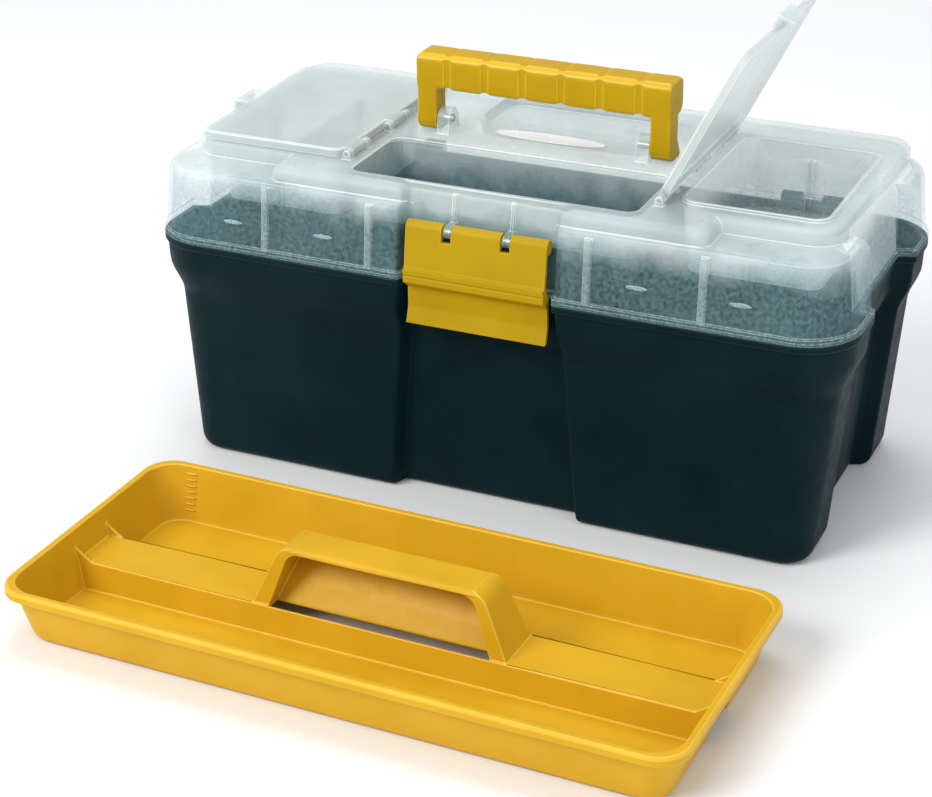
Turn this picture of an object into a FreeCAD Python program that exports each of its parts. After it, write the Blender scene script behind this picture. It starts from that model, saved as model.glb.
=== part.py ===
"""Plastic toolbox with a see-through organiser lid, a folding carry handle and a lift-out tray.

Millimetres, +Z up.  The origin is the middle of the tub's flat underside.  The box is long in X,
its latch faces -Y and its lid hinges run along X at the back.  The tray stands beside the box on
the same surface, lifted out in front of it.
"""
import FreeCAD, Part
import math
import os

V = FreeCAD.Vector
X_AXIS = V(1, 0, 0)
Y_AXIS = V(0, 1, 0)
Z_AXIS = V(0, 0, 1)

# ---------------------------------------------------------------- driving dimensions
BOX_LENGTH = 480.0            # over the rims, X
BOX_DEPTH = 230.0             # over the rims, Y
TUB_HEIGHT = 158.0            # underside of the tub to the parting line
LID_HEIGHT = 60.0             # parting line to the top of the lid
WALL = 3.0                    # tub wall
LID_WALL = 2.5                # lid wall
RIM_PROUD = 1.5               # how far the two rims stand out from the walls
RIM_HEIGHT = 4.5              # height of each rim
PARTING_GAP = 0.3             # between the tub's rim and the lid's rim
CORNER = 36.0                 # plan corner radius of the box
CORNER_TIGHTEN = 8.0          # the tub's corners get this much tighter down to the floor
BOOL_EXTRA = 5.0              # how far a cutter reaches past the face it cuts

# tub: a tall band, an S-shaped shoulder inwards, then a long taper
BAND_HEIGHT = 18.0            # parting line to the start of the shoulder
SHOULDER_HEIGHT = 25.0
SHOULDER_IN = 8.0
BAND_TAPER = 0.8
END_TAPER = 10.5              # each end, shoulder to floor
SIDE_TAPER = 1.5              # front and back, shoulder to floor
FLOOR_RADIUS = 8.0            # rounded lower edge

# recess for the latch at the front, grooves at the ends
RECESS_HALF_TOP = 50.0
RECESS_HALF_FLOOR = 62.5
RECESS_DEPTH = 11.0
GROOVE_HALF = 48.0
GROOVE_DEPTH = 11.0
SIDE_SLOPE = 4.0              # how far a recess or groove side leans
EDGE_ROUND = 2.5              # its rounded edges

# lid shell
LID_TAPER = 4.0               # wall, parting line to the shoulder
LID_SHOULDER = 8.0            # radius of the rounded shoulder
DECK_STEP = 10.0              # the organiser deck stands this far above the shoulder
DECK_END_MARGIN = 18.0        # box end to the deck's end
DECK_FRONT_MARGIN = 37.0      # box front to the deck's front
DECK_BACK_MARGIN = 7.5
DECK_CORNER = 20.0
DECK_EDGE = 3.0               # rounded top edge of the deck
BROW_END_MARGIN = 91.0        # box end to the brow, the deck's run to the front wall
BROW_MARGIN = 11.0            # box front to the brow's front
BROW_EDGE = 7.0               # its rounded top edge
RIB_WIDTH = 4.4
RIB_PROUD = 1.2

# organiser bins at both ends and the open trough behind the front wall
BIN_END_MARGIN = 31.0         # box end to the bin
BIN_INNER_X = 118.0           # middle of the box to the bin; the middle keeps its size
BIN_SIDE_MARGIN = 52.0        # box front or back to the bin
BIN_FLOOR_UP = 16.0           # above the parting line
BIN_TAPER = 4.0
BIN_CORNER = 9.0
BIN_WALL = 2.0
BIN_LIP = 2.2                 # raised lip round each bin's mouth
BIN_LIP_WIDTH = 2.0
TROUGH_TO_BIN = 20.0          # along X
TROUGH_FRONT_MARGIN = 24.0    # box front to the trough
TROUGH_TO_HANDLE = 24.5       # the trough's back edge to the handle's pivot, Y
TROUGH_FLOOR_UP = 30.0        # above the parting line
TROUGH_TAPER = 3.0
TROUGH_CORNER = 8.0
POCKET_TO_BIN = 56.0          # shallow pocket behind the carry handle, along X
POCKET_TO_HANDLE = 31.5
POCKET_BACK_MARGIN = 21.0
POCKET_DEPTH = 9.0
POCKET_CORNER = 12.0

# dividers
DIVIDER_THICKNESS = 1.6
DIVIDER_BELOW_TOP = 8.0
DIVIDER_GAP = 0.3
GUIDE_WIDTH = 1.4
GUIDE_DEPTH = 2.2
LONG_DIVIDER_OFF = 0.5        # from the middle of the bin, outwards
CROSS_DIVIDER_Y = -8.0

# flip-up bin covers
COVER_OPEN_ANGLE = 63.0       # the right-hand cover stands open
COVER_OVERHANG_Y = 12.0       # past the bin's mouth
COVER_OVERHANG_X = 6.0
COVER_PLATE = 1.8
COVER_SKIRT = 1.6
COVER_CORNER = 8.0
COVER_EDGE = 0.9
COVER_SEAT_GAP = 0.3
COVER_HINGE_TO_BIN = 11.0
COVER_BARREL_RADIUS = 2.9
COVER_PIN_RADIUS = 1.25
COVER_KNUCKLE = 20.0
COVER_KNUCKLE_IN = 15.0       # end knuckle's middle, from the cover's edge
COVER_LUG = 5.0
TAB_HALF = 13.0               # snap tab that hangs over the deck's end
TAB_GAP = 1.0
TAB_DROP = 12.0
TAB_THICKNESS = 2.0

# carry handle
HANDLE_TO_BIN = 29.0          # along X
HANDLE_TOP = 54.0             # above the lid's deck
GRIP_HEIGHT = 24.0
GRIP_DEPTH = 24.0
GRIP_EDGE = 6.0               # rounded long edges
GRIP_END = 4.0                # rounded ends
LEG_WIDTH = 14.0
LEG_DEPTH = 16.5
HANDLE_Y = 2.5
PIVOT_HEIGHT = 9.0            # above the deck
LEG_EDGE = 2.0
HEEL_REACH = 12.5
HEEL_HEIGHT = 3.0
HANDLE_PIN_RADIUS = 2.5
EAR_WIDTH = 9.0
EAR_RADIUS = 7.5
GROOVES = 6                   # shallow rings that split the grip into five swells
GROOVE_MARGIN = 22.0          # handle's end to the first ring
RING_RADIUS = 6.0
RING_DEPTH = 1.0
RING_BELOW = 1.8              # deeper under the fingers

# latch
LATCH_SIDE_GAP = 2.0          # to the recess's side
LATCH_PIN_OUT = 7.5           # pin, out from the recess floor
LATCH_PIN_DOWN = 25.0         # pin, below the top of the lid
LATCH_BARREL = 5.0
LATCH_PIN_RADIUS = 1.6
LATCH_PLATE = 3.4
LATCH_DROP = 29.0             # lower edge, below the parting line
RIDGE_UP = 5.0                # middle of the double ridge, above the parting line
RIDGE_HALF = 4.5
RIDGE_PROUD = 2.0
RIDGE_NOTCH = 0.9             # half width of the line between the two ridges
LOWER_SET_BACK = 5.2          # lower plate, behind the ridge's root
FINGER_FLARE = 3.6            # its lower edge stands out for the fingers
LUG_AT = 20.0
LUG_WIDTH = 4.6
LUG_GAP = 1.0
CATCH_HALF = 32.0
CATCH_DROP = 8.0              # top of the catch, below the parting line
CATCH_HEIGHT = 4.0
CATCH_PROUD = 3.4
HOOK_HALF = 29.0
HOOK_GAP = 0.4
HOOK_HEIGHT = 4.0
HOOK_TIP_GAP = 1.6

# lid hinges
HINGE_END_MARGIN = 90.0       # box end to the hinge's middle
HINGE_CLEAR = 0.6             # knuckles, behind the rims
KNUCKLE_RADIUS = 5.4
KNUCKLE_LENGTH = 14.0
KNUCKLE_GAP = 0.4
HINGE_PIN_RADIUS = 2.5

FIT_RADIAL = 0.05             # running fit of every pin
MOVING_GAP = 0.3

# badge
BADGE_LENGTH = 78.0
BADGE_WIDTH = 15.0
BADGE_THICKNESS = 0.8
BADGE_Y = 12.0

# tray
TRAY_IN_X = 24.0              # box end to the tray's end, when it sits in the tub
TRAY_IN_Y = 21.5
TRAY_HEIGHT = 38.0
TRAY_WALL = 2.2
TRAY_CORNER = 20.0
TRAY_TAPER = 9.5              # wall lean, rim to floor
TRAY_RIM_PROUD = 2.8
TRAY_RIM_HEIGHT = 6.0
TRAY_RIM_EDGE = 1.2
TRAY_FLOOR_RADIUS = 4.0
SPINE_HALF_FLOOR = 21.0
SPINE_HALF_TOP = 18.0
SPINE_HEIGHT = 20.0
ARCH_HEIGHT = 59.0            # top of the grip, above the tray's underside
ARCH_HALF_TOP = 66.0
ARCH_HALF_FOOT = 83.0
ARCH_FRONT = 12.0             # front edge of the grip's top, from the tray's middle
ARCH_BACK = 15.0
ARCH_ROUND = 13.0
ARCH_LEG = 11.0               # foot of each leg, along X
ARCH_LEG_TOP = 6.0
ARCH_TOP_WALL = 3.4
SLOT_FRONT = 17.0             # slot in the spine under the grip
SLOT_WIDTH = 10.0
GUSSET_LENGTH = 12.0
GUSSET_HEIGHT = 9.0
GUSSET_WIDTH = 2.0
TRAY_X = 20.0                 # where the tray stands, lifted out
TRAY_AHEAD = 74.5             # clear space in front of the box
TRAY_TURN = -1.0
SHELF_DROP = 34.0             # top of the tray shelf in the tub, below the parting line
SHELF_REACH = 7.6
SHELF_HALF = 30.0
SHELF_THICKNESS = 3.0

# ---------------------------------------------------------------- derived places
BOX_TOP = TUB_HEIGHT + LID_HEIGHT
SHOULDER_TOP = BOX_TOP - DECK_STEP
WALL_HALF_X = BOX_LENGTH / 2 - RIM_PROUD
WALL_HALF_Y = BOX_DEPTH / 2 - RIM_PROUD
BROW_HALF = BOX_LENGTH / 2 - BROW_END_MARGIN
BIN_OUTER_X = BOX_LENGTH / 2 - BIN_END_MARGIN
BIN_HALF_Y = BOX_DEPTH / 2 - BIN_SIDE_MARGIN
BIN_DEPTH = LID_HEIGHT - BIN_FLOOR_UP
TROUGH_HALF_X = BIN_INNER_X - TROUGH_TO_BIN
TROUGH_FRONT_Y = -BOX_DEPTH / 2 + TROUGH_FRONT_MARGIN
TROUGH_BACK_Y = HANDLE_Y - TROUGH_TO_HANDLE
TROUGH_DEPTH = LID_HEIGHT - TROUGH_FLOOR_UP
POCKET_HALF_X = BIN_INNER_X - POCKET_TO_BIN
POCKET_FRONT_Y = HANDLE_Y + POCKET_TO_HANDLE
POCKET_BACK_Y = BOX_DEPTH / 2 - POCKET_BACK_MARGIN
DIVIDER_HEIGHT = BIN_DEPTH - DIVIDER_BELOW_TOP
LONG_DIVIDER_X = (BIN_INNER_X + BIN_OUTER_X) / 2 + LONG_DIVIDER_OFF
COVER_HINGE_X = BIN_INNER_X - COVER_HINGE_TO_BIN
COVER_HALF_Y = BIN_HALF_Y + COVER_OVERHANG_Y
COVER_FREE_X = BIN_OUTER_X + COVER_OVERHANG_X
COVER_KNUCKLE_AT = COVER_HALF_Y - COVER_KNUCKLE_IN
DECK_HALF_X = BOX_LENGTH / 2 - DECK_END_MARGIN
HANDLE_HALF_X = BIN_INNER_X - HANDLE_TO_BIN
LATCH_HALF_X = RECESS_HALF_TOP - LATCH_SIDE_GAP
LATCH_PIN_UP = LID_HEIGHT - LATCH_PIN_DOWN
HINGE_AT = BOX_LENGTH / 2 - HINGE_END_MARGIN
HINGE_OUT = KNUCKLE_RADIUS + HINGE_CLEAR
TRAY_LENGTH = BOX_LENGTH - 2 * TRAY_IN_X
TRAY_DEPTH = BOX_DEPTH - 2 * TRAY_IN_Y
TRAY_Y = -(BOX_DEPTH + TRAY_DEPTH) / 2 - TRAY_AHEAD
FIT = FIT_RADIAL


# ---------------------------------------------------------------- shared builders
def rounded_wire(corners, z):
    """Closed wire of straight lines and tangent arcs; corners are (x, y, radius)."""
    count = len(corners)
    arcs = []
    for i in range(count):
        x, y, radius = corners[i]
        here = V(x, y, z)
        before = V(corners[i - 1][0], corners[i - 1][1], z)
        after = V(corners[(i + 1) % count][0], corners[(i + 1) % count][1], z)
        back = (before - here).normalize()
        ahead = (after - here).normalize()
        half = back.getAngle(ahead) / 2
        reach = radius / math.tan(half)
        middle = here + (back + ahead).normalize() * (radius / math.sin(half) - radius)
        arcs.append((here + back * reach, middle, here + ahead * reach))
    edges = []
    for i in range(count):
        start, middle, end = arcs[i]
        edges.append(Part.Arc(start, middle, end).toShape())
        edges.append(Part.LineSegment(end, arcs[(i + 1) % count][0]).toShape())
    return Part.Wire(edges)


def rectangle(x0, x1, y0, y1, radius, z):
    return rounded_wire([(x0, y0, radius), (x1, y0, radius), (x1, y1, radius), (x0, y1, radius)], z)


def loft(wires, ruled=True):
    return Part.makeLoft(wires, True, ruled)


def tapered_box(x0, x1, y0, y1, radius, z_low, z_high, taper):
    """Rounded box whose lower end is smaller by taper all round."""
    low = rectangle(x0 + taper, x1 - taper, y0 + taper, y1 - taper, max(radius - taper / 2, 1.0), z_low)
    return loft([low, rectangle(x0, x1, y0, y1, radius, z_high)])


def box(x0, x1, y0, y1, z0, z1):
    return Part.makeBox(x1 - x0, y1 - y0, z1 - z0, V(x0, y0, z0))


def rod(radius, start, direction, length):
    return Part.makeCylinder(radius, length, start, direction)


def x_extrusion(outline, x0, x1):
    """Solid from a closed (y, z) outline, run along X."""
    points = [V(x0, y, z) for y, z in outline]
    face = Part.Face(Part.makePolygon(points + points[:1]))
    return face.extrude(V(x1 - x0, 0, 0))


def y_extrusion(outline, y0, y1):
    """Solid from a closed (x, z) outline, run along Y."""
    points = [V(x, y0, z) for x, z in outline]
    face = Part.Face(Part.makePolygon(points + points[:1]))
    return face.extrude(V(0, y1 - y0, 0))


def run_along_x(corners, x0, x1):
    """Solid from a closed outline of (y, z, radius) corners, run along X."""
    solid = Part.Face(rounded_wire(corners, 0.0)).extrude(V(0, 0, x1 - x0))
    solid.rotate(V(0, 0, 0), V(1, 1, 1), 120)
    solid.translate(V(x0, 0, 0))
    return solid


def run_along_y(corners, y0, y1):
    """Solid from a closed outline of (x, z, radius) corners, run along Y."""
    solid = Part.Face(rounded_wire(corners, 0.0)).extrude(V(0, 0, y1 - y0))
    solid.rotate(V(0, 0, 0), X_AXIS, 90)
    solid.translate(V(0, y1, 0))
    return solid


def fuse(*shapes):
    return shapes[0].multiFuse(list(shapes[1:])).removeSplitter()


def mirror_x(shape):
    return shape.mirror(V(0, 0, 0), X_AXIS)


def save(name, shape):
    solids = shape.Solids
    result = solids[0] if len(solids) == 1 else Part.makeCompound(solids)
    result.exportStep("parts/%s.step" % name)
    bounds = result.BoundBox
    print("%-22s solids %d  valid %s  x %.1f..%.1f  y %.1f..%.1f  z %.1f..%.1f" % (
        name, len(solids), result.isValid(), bounds.XMin, bounds.XMax,
        bounds.YMin, bounds.YMax, bounds.ZMin, bounds.ZMax))


def box_plan(half_x, half_y, corner, recess_half, inset, z):
    """Outline of the box at one height: front recess, end grooves, rounded corners."""
    hx = half_x - inset
    hy = half_y - inset
    r = EDGE_ROUND
    rh = recess_half + inset
    gh = GROOVE_HALF + inset
    s = SIDE_SLOPE
    floor_y = -hy + RECESS_DEPTH
    groove_x = hx - GROOVE_DEPTH
    return rounded_wire([
        (-rh - s, -hy, r), (-rh, floor_y, r), (rh, floor_y, r), (rh + s, -hy, r),
        (hx, -hy, corner - inset),
        (hx, -gh - s, r), (groove_x, -gh, r), (groove_x, gh, r), (hx, gh + s, r),
        (hx, hy, corner - inset), (-hx, hy, corner - inset),
        (-hx, gh + s, r), (-groove_x, gh, r), (-groove_x, -gh, r), (-hx, -gh - s, r),
        (-hx, -hy, corner - inset)], z)


# ---------------------------------------------------------------- tub
def tub_plan(z, inset=0.0, floor=0.0):
    """Outline of the tub's wall at height z; floor is where its rounded lower edge starts."""
    shoulder_top = TUB_HEIGHT - BAND_HEIGHT
    shoulder_low = shoulder_top - SHOULDER_HEIGHT
    band = min(max((TUB_HEIGHT - z) / BAND_HEIGHT, 0.0), 1.0)
    fall = min(max((shoulder_top - z) / SHOULDER_HEIGHT, 0.0), 1.0)
    ease = fall * fall * (3 - 2 * fall)
    lower = min(max((shoulder_low - z) / shoulder_low, 0.0), 1.0)
    up = max(FLOOR_RADIUS - (z - floor), 0.0)
    edge = FLOOR_RADIUS - math.sqrt(FLOOR_RADIUS ** 2 - up ** 2)
    shrink = BAND_TAPER * band + SHOULDER_IN * ease + edge
    recess_half = RECESS_HALF_TOP + (RECESS_HALF_FLOOR - RECESS_HALF_TOP) * (1 - z / TUB_HEIGHT)
    corner = CORNER - shrink - CORNER_TIGHTEN * lower
    return box_plan(WALL_HALF_X - shrink - END_TAPER * lower, WALL_HALF_Y - shrink - SIDE_TAPER * lower,
                    corner, recess_half, inset, z)


def tub_heights(floor):
    """Heights of the loft sections from a floor level up to the parting line."""
    shoulder_top = TUB_HEIGHT - BAND_HEIGHT
    curve = [floor + FLOOR_RADIUS * (1 - math.cos(math.radians(a))) for a in (0, 25, 45, 65, 90)]
    fall = [shoulder_top - SHOULDER_HEIGHT * t for t in (1.0, 0.86, 0.68, 0.5, 0.32, 0.14, 0.0)]
    return curve + [TUB_HEIGHT * 0.35] + fall + [TUB_HEIGHT]


def tub_shell():
    heights = tub_heights(0.0)
    outer = loft([tub_plan(z) for z in heights])
    inner_heights = tub_heights(WALL)
    wires = [tub_plan(z, WALL, WALL) for z in inner_heights]
    top = box_plan(WALL_HALF_X, WALL_HALF_Y, CORNER, RECESS_HALF_TOP, WALL, TUB_HEIGHT + BOOL_EXTRA)
    inner = loft(wires + [top])
    low = TUB_HEIGHT - RIM_HEIGHT
    rim = loft([box_plan(WALL_HALF_X, WALL_HALF_Y, CORNER, RECESS_HALF_TOP, -RIM_PROUD, z)
                for z in (low, TUB_HEIGHT)])
    return fuse(outer, rim).cut(inner)


def tray_shelf():
    """Shelf on the groove's inner face that carries one end of the tray."""
    top = TUB_HEIGHT - SHELF_DROP
    root = WALL_HALF_X - BAND_TAPER - GROOVE_DEPTH - WALL / 2
    reach = root - WALL / 2 - SHELF_REACH
    root_low = root - SHOULDER_IN
    drop = SHELF_THICKNESS
    outline = [(reach, top), (root - SHOULDER_IN * 0.55, top), (root_low, top - drop * 4),
               (root_low - WALL / 2, top - drop * 4), (reach, top - drop)]
    return y_extrusion(outline, -SHELF_HALF, SHELF_HALF)


def hinge_axis():
    return BOX_DEPTH / 2 + HINGE_OUT, TUB_HEIGHT


def hinge_knuckle(x0, x1, above):
    """One knuckle and its arm, below the parting line (tub) or above it (lid)."""
    y, z = hinge_axis()
    wall_y = WALL_HALF_Y - BAND_TAPER - LID_WALL / 2
    barrel = rod(KNUCKLE_RADIUS, V(x0, y, z), X_AXIS, x1 - x0)
    if above:
        arm = box(x0, x1, wall_y, y, z + PARTING_GAP, z + KNUCKLE_RADIUS)
    else:
        arm = box(x0, x1, wall_y, y, z - KNUCKLE_RADIUS, z)
    return fuse(barrel, arm)


def hinge_bore(centre_x):
    y, z = hinge_axis()
    length = 3 * KNUCKLE_LENGTH + 2 * BOOL_EXTRA
    return rod(HINGE_PIN_RADIUS + FIT, V(centre_x - length / 2, y, z), X_AXIS, length)


def latch_catch():
    """Ledge on the tub's recess floor that the latch hooks under."""
    wall_y = -(WALL_HALF_Y - RECESS_DEPTH) + BAND_TAPER
    top = TUB_HEIGHT - CATCH_DROP
    low = top - CATCH_HEIGHT
    outline = [(wall_y + WALL / 2, top + CATCH_PROUD / 2), (wall_y - CATCH_PROUD, top - 1.0),
               (wall_y - CATCH_PROUD, low), (wall_y + WALL / 2, low)]
    return x_extrusion(outline, -CATCH_HALF, CATCH_HALF)


def make_tub():
    shape = tub_shell()
    shelf = tray_shelf()
    parts = [shape, shelf, mirror_x(shelf), latch_catch()]
    for side in (-1, 1):
        for end in (-1, 1):
            inner = side * HINGE_AT + end * (KNUCKLE_LENGTH / 2 + KNUCKLE_GAP)
            outer = inner + end * KNUCKLE_LENGTH
            parts.append(hinge_knuckle(min(inner, outer), max(inner, outer), False))
    tub = fuse(*parts)
    for side in (-1, 1):
        tub = tub.cut(hinge_bore(side * HINGE_AT))
    return tub


# ---------------------------------------------------------------- lid
def lid_plan(z, inset=0.0):
    wall_top = SHOULDER_TOP - LID_SHOULDER
    rise = min((z - TUB_HEIGHT) / (wall_top - TUB_HEIGHT), 1.0)
    over = max(z - wall_top, 0.0)
    edge = LID_SHOULDER - math.sqrt(max(LID_SHOULDER ** 2 - over ** 2, 0.0))
    shrink = LID_TAPER * rise + edge
    return box_plan(WALL_HALF_X - shrink, WALL_HALF_Y - shrink, CORNER - shrink,
                    RECESS_HALF_TOP, inset, z)


def shoulder_heights(low, top, radius, steps=5):
    """Heights that follow a quarter circle up to the top."""
    curve = [top - radius + radius * math.sin(math.radians(90.0 * k / steps)) for k in range(steps + 1)]
    return [low] + curve


def lid_shell_outer():
    low = TUB_HEIGHT + PARTING_GAP
    walls = loft([lid_plan(z) for z in shoulder_heights(low, SHOULDER_TOP, LID_SHOULDER)])
    rim = loft([box_plan(WALL_HALF_X, WALL_HALF_Y, CORNER, RECESS_HALF_TOP, -RIM_PROUD, z)
                for z in (low, low + RIM_HEIGHT)])
    return fuse(walls, rim)


def edge_inset(z, top, radius):
    """How far a rounded top edge has come in at height z."""
    over = max(z - (top - radius), 0.0)
    return radius - math.sqrt(max(radius ** 2 - over ** 2, 0.0))


def deck(inset):
    """Raised organiser deck as a solid, shrunk by inset for its hollow inside."""
    top = BOX_TOP - inset
    low = SHOULDER_TOP - LID_SHOULDER
    wires = []
    for z in shoulder_heights(low, top, DECK_EDGE, 3):
        e = edge_inset(z, top, DECK_EDGE) + inset
        wires.append(rectangle(-BOX_LENGTH / 2 + DECK_END_MARGIN + e, BOX_LENGTH / 2 - DECK_END_MARGIN - e,
                               -BOX_DEPTH / 2 + DECK_FRONT_MARGIN + e, BOX_DEPTH / 2 - DECK_BACK_MARGIN - e,
                               DECK_CORNER - e, z))
    return loft(wires)


def brow(inset):
    """The deck's run to the front wall, with the latch recess carried up through it."""
    top = BOX_TOP - inset
    low = SHOULDER_TOP - LID_SHOULDER
    back = -BOX_DEPTH / 2 + DECK_FRONT_MARGIN + LID_WALL + DECK_EDGE * 2
    wires = []
    for z in shoulder_heights(low, top, BROW_EDGE, 4):
        e = edge_inset(z, top, BROW_EDGE) + inset
        front = -BOX_DEPTH / 2 + BROW_MARGIN + e
        half = BROW_HALF - e
        rh = RECESS_HALF_TOP + e
        r = EDGE_ROUND
        floor_y = -BOX_DEPTH / 2 + RECESS_DEPTH + BROW_MARGIN - LID_TAPER + e
        wires.append(rounded_wire([
            (-half, front, BROW_EDGE), (-rh - SIDE_SLOPE, front, r), (-rh, floor_y, r),
            (rh, floor_y, r), (rh + SIDE_SLOPE, front, r), (half, front, BROW_EDGE),
            (half, back, r), (-half, back, r)], z))
    return loft(wires)


def lid_cavity():
    low = TUB_HEIGHT - BOOL_EXTRA
    top = SHOULDER_TOP - LID_WALL
    wires = [box_plan(WALL_HALF_X, WALL_HALF_Y, CORNER, RECESS_HALF_TOP, LID_WALL, low)]
    for z in shoulder_heights(TUB_HEIGHT + PARTING_GAP, SHOULDER_TOP, LID_SHOULDER)[:-2]:
        wires.append(lid_plan(z, LID_WALL))
    inner = loft(wires)
    lower_top = box(-BOX_LENGTH, BOX_LENGTH, -BOX_DEPTH, BOX_DEPTH, low - BOOL_EXTRA, top)
    return fuse(inner.common(lower_top), deck(LID_WALL), brow(LID_WALL))


def bin_solid(grow, extra_top):
    """Right-hand bin: the hollow itself (grow 0) or its outside (grow = wall)."""
    floor = BOX_TOP - BIN_DEPTH - grow
    return tapered_box(BIN_INNER_X - grow, BIN_OUTER_X + grow, -BIN_HALF_Y - grow, BIN_HALF_Y + grow,
                       BIN_CORNER + grow, floor, BOX_TOP + extra_top, BIN_TAPER)


def bin_lip():
    return loft([rectangle(BIN_INNER_X - BIN_LIP_WIDTH, BIN_OUTER_X + BIN_LIP_WIDTH,
                           -BIN_HALF_Y - BIN_LIP_WIDTH, BIN_HALF_Y + BIN_LIP_WIDTH,
                           BIN_CORNER + BIN_LIP_WIDTH, z) for z in (BOX_TOP - LID_WALL, BOX_TOP + BIN_LIP)])


def trough_solid(grow, extra_top):
    return tapered_box(-TROUGH_HALF_X - grow, TROUGH_HALF_X + grow, TROUGH_FRONT_Y - grow,
                       TROUGH_BACK_Y + grow, TROUGH_CORNER + grow, BOX_TOP - TROUGH_DEPTH - grow,
                       BOX_TOP + extra_top, TROUGH_TAPER)


def pocket_solid(grow, extra_top):
    return tapered_box(-POCKET_HALF_X - grow, POCKET_HALF_X + grow, POCKET_FRONT_Y - grow,
                       POCKET_BACK_Y + grow, POCKET_CORNER + grow, BOX_TOP - POCKET_DEPTH - grow,
                       BOX_TOP + extra_top, 1.0)


def guide_posts(x, y, along_x, inward):
    """Two thin ribs on a bin wall that hold a divider's edge; inward is +1 or -1."""
    near = DIVIDER_THICKNESS / 2 + DIVIDER_GAP
    low = BOX_TOP - BIN_DEPTH - BIN_WALL / 2
    high = BOX_TOP - BIN_DEPTH + DIVIDER_HEIGHT
    root = -inward * BIN_WALL / 2
    tip = inward * (BIN_TAPER + GUIDE_DEPTH)
    ribs = []
    for side in (-1, 1):
        a, b = sorted((side * near, side * (near + GUIDE_WIDTH)))
        c, d = sorted((root, tip))
        if along_x:
            ribs.append(box(x + c, x + d, y + a, y + b, low, high))
        else:
            ribs.append(box(x + a, x + b, y + c, y + d, low, high))
    return ribs


def divider_guides():
    ribs = []
    for side in (-1, 1):
        for x in (-LONG_DIVIDER_X, LONG_DIVIDER_X):
            ribs += guide_posts(x, side * BIN_HALF_Y, False, -side)
    return ribs + guide_posts(-BIN_INNER_X, CROSS_DIVIDER_Y, True, -1)


def front_ribs():
    """Upright ribs on the front wall; they stop under the shoulder."""
    ribs = []
    low = TUB_HEIGHT + PARTING_GAP + RIM_HEIGHT / 2
    high = SHOULDER_TOP - LID_SHOULDER / 2
    y_low = -WALL_HALF_Y
    y_high = -WALL_HALF_Y + LID_TAPER
    for x in (-BROW_HALF, -BROW_HALF / 2, BROW_HALF / 2, BROW_HALF):
        outline = [(y_low - RIB_PROUD, low), (y_high - RIB_PROUD, high), (y_high + LID_WALL / 2, high),
                   (y_low + LID_WALL / 2, low)]
        ribs.append(x_extrusion(outline, x - RIB_WIDTH / 2, x + RIB_WIDTH / 2))
    return ribs


def latch_pin_place():
    rise = LATCH_PIN_UP / (SHOULDER_TOP - LID_SHOULDER - TUB_HEIGHT)
    floor_y = -(WALL_HALF_Y - LID_TAPER * rise) + RECESS_DEPTH
    return floor_y - LATCH_PIN_OUT, TUB_HEIGHT + LATCH_PIN_UP


def latch_lug(x):
    """Lug that holds the latch pin, running up the recess as a thin rib."""
    y, z = latch_pin_place()
    root = y + LATCH_PIN_OUT + LID_WALL / 2
    boss = rod(LATCH_BARREL - 0.8, V(x - LUG_WIDTH / 2, y, z), X_AXIS, LUG_WIDTH)
    arm = box(x - LUG_WIDTH / 2, x + LUG_WIDTH / 2, y, root, z - LATCH_BARREL + 0.8, z + LATCH_BARREL - 0.8)
    rib_width = LUG_WIDTH / 2
    rib_top = BOX_TOP - BROW_EDGE / 2
    rib = x_extrusion([(root - LID_WALL / 2 - RIB_PROUD * 2, z), (root, z), (root + LID_WALL, rib_top),
                       (root - LID_WALL / 2 + RIB_PROUD, rib_top)], x - rib_width / 2, x + rib_width / 2)
    return [boss, arm, rib]


def cover_axis():
    return COVER_HINGE_X, BOX_TOP + COVER_SEAT_GAP + COVER_BARREL_RADIUS


def cover_lugs():
    """Lid lugs that carry the right-hand cover's pin, one pair at each knuckle."""
    x, z = cover_axis()
    width = COVER_LUG
    lugs = []
    for centre in (-COVER_KNUCKLE_AT, 0.0, COVER_KNUCKLE_AT):
        for side in (-1, 1):
            near = centre + side * (COVER_KNUCKLE / 2 + MOVING_GAP)
            far = near + side * width
            y0 = min(near, far)
            lugs.append(rod(COVER_BARREL_RADIUS, V(x, y0, z), Y_AXIS, width))
            lugs.append(box(x - COVER_BARREL_RADIUS, x + COVER_BARREL_RADIUS, y0, y0 + width,
                            BOX_TOP - LID_WALL / 2, z))
    return lugs


def handle_pivot():
    return HANDLE_Y, BOX_TOP + PIVOT_HEIGHT


def handle_ear():
    """Right-hand ear on the deck, inboard of the handle's leg."""
    y, z = handle_pivot()
    x1 = HANDLE_HALF_X - LEG_WIDTH - MOVING_GAP
    x0 = x1 - EAR_WIDTH
    top = rod(EAR_RADIUS, V(x0, y, z), X_AXIS, EAR_WIDTH)
    base = x_extrusion([(y - EAR_RADIUS, z), (y - EAR_RADIUS - 2.0, BOX_TOP - LID_WALL / 2),
                        (y + EAR_RADIUS + 2.0, BOX_TOP - LID_WALL / 2), (y + EAR_RADIUS, z)], x0, x1)
    return [top, base]


def cover_pin_bore():
    x, z = cover_axis()
    reach = COVER_HALF_Y + BOOL_EXTRA
    return rod(COVER_PIN_RADIUS + FIT, V(x, -reach, z), Y_AXIS, 2 * reach)


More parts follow.
